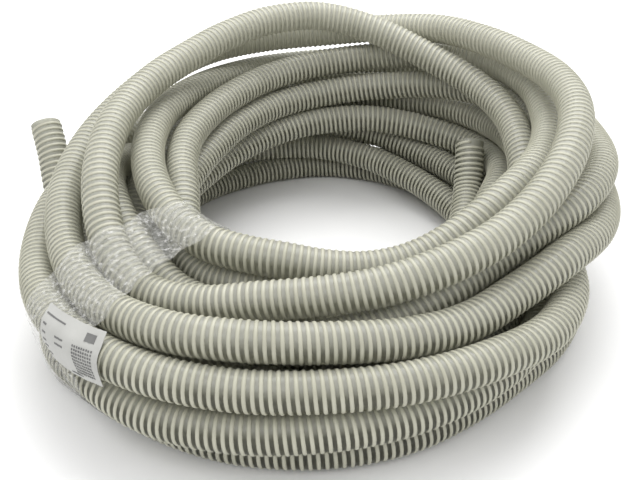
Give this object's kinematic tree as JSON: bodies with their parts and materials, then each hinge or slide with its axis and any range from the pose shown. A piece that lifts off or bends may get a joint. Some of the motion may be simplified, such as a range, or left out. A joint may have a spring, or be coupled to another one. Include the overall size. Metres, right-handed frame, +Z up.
{
  "type": "vacuum hose",
  "caption": "Loosely wound coil of spiral-reinforced pool vacuum hose with square-cut ends, tied in one place by a band of stretch film with a paper label.",
  "frame": {"origin": "on the floor under the middle of the coil's bounding box", "axes": "+Z up along the coil's axis; the film and the label are at the front left, towards -X and -Y; the free end stands up at the left, towards -X"},
  "size_m": [0.8343, 0.8463, 0.3259],
  "materials": {
    "hose_wall": "translucent grey-white flexible wall with a cream rigid rib, satin",
    "stretch_film": "clear wrinkled stretch film, glossy",
    "label_paper": "white coated paper, matt"
  },
  "bodies": {
    "root": {"hose_free_end": "hose_wall", "hose_lap_01": "hose_wall", "hose_lap_02": "hose_wall", "hose_lap_03": "hose_wall", "hose_lap_04": "hose_wall", "hose_lap_05": "hose_wall", "hose_lap_06": "hose_wall", "hose_lap_07": "hose_wall", "hose_lap_08": "hose_wall", "hose_lap_09": "hose_wall", "hose_lap_10": "hose_wall", "hose_lap_11": "hose_wall", "hose_lap_12": "hose_wall", "hose_lap_13": "hose_wall", "hose_lap_14": "hose_wall", "hose_inner_end": "hose_wall", "film_wrap": "stretch_film", "label": "label_paper"}
  },
  "joints": []
}
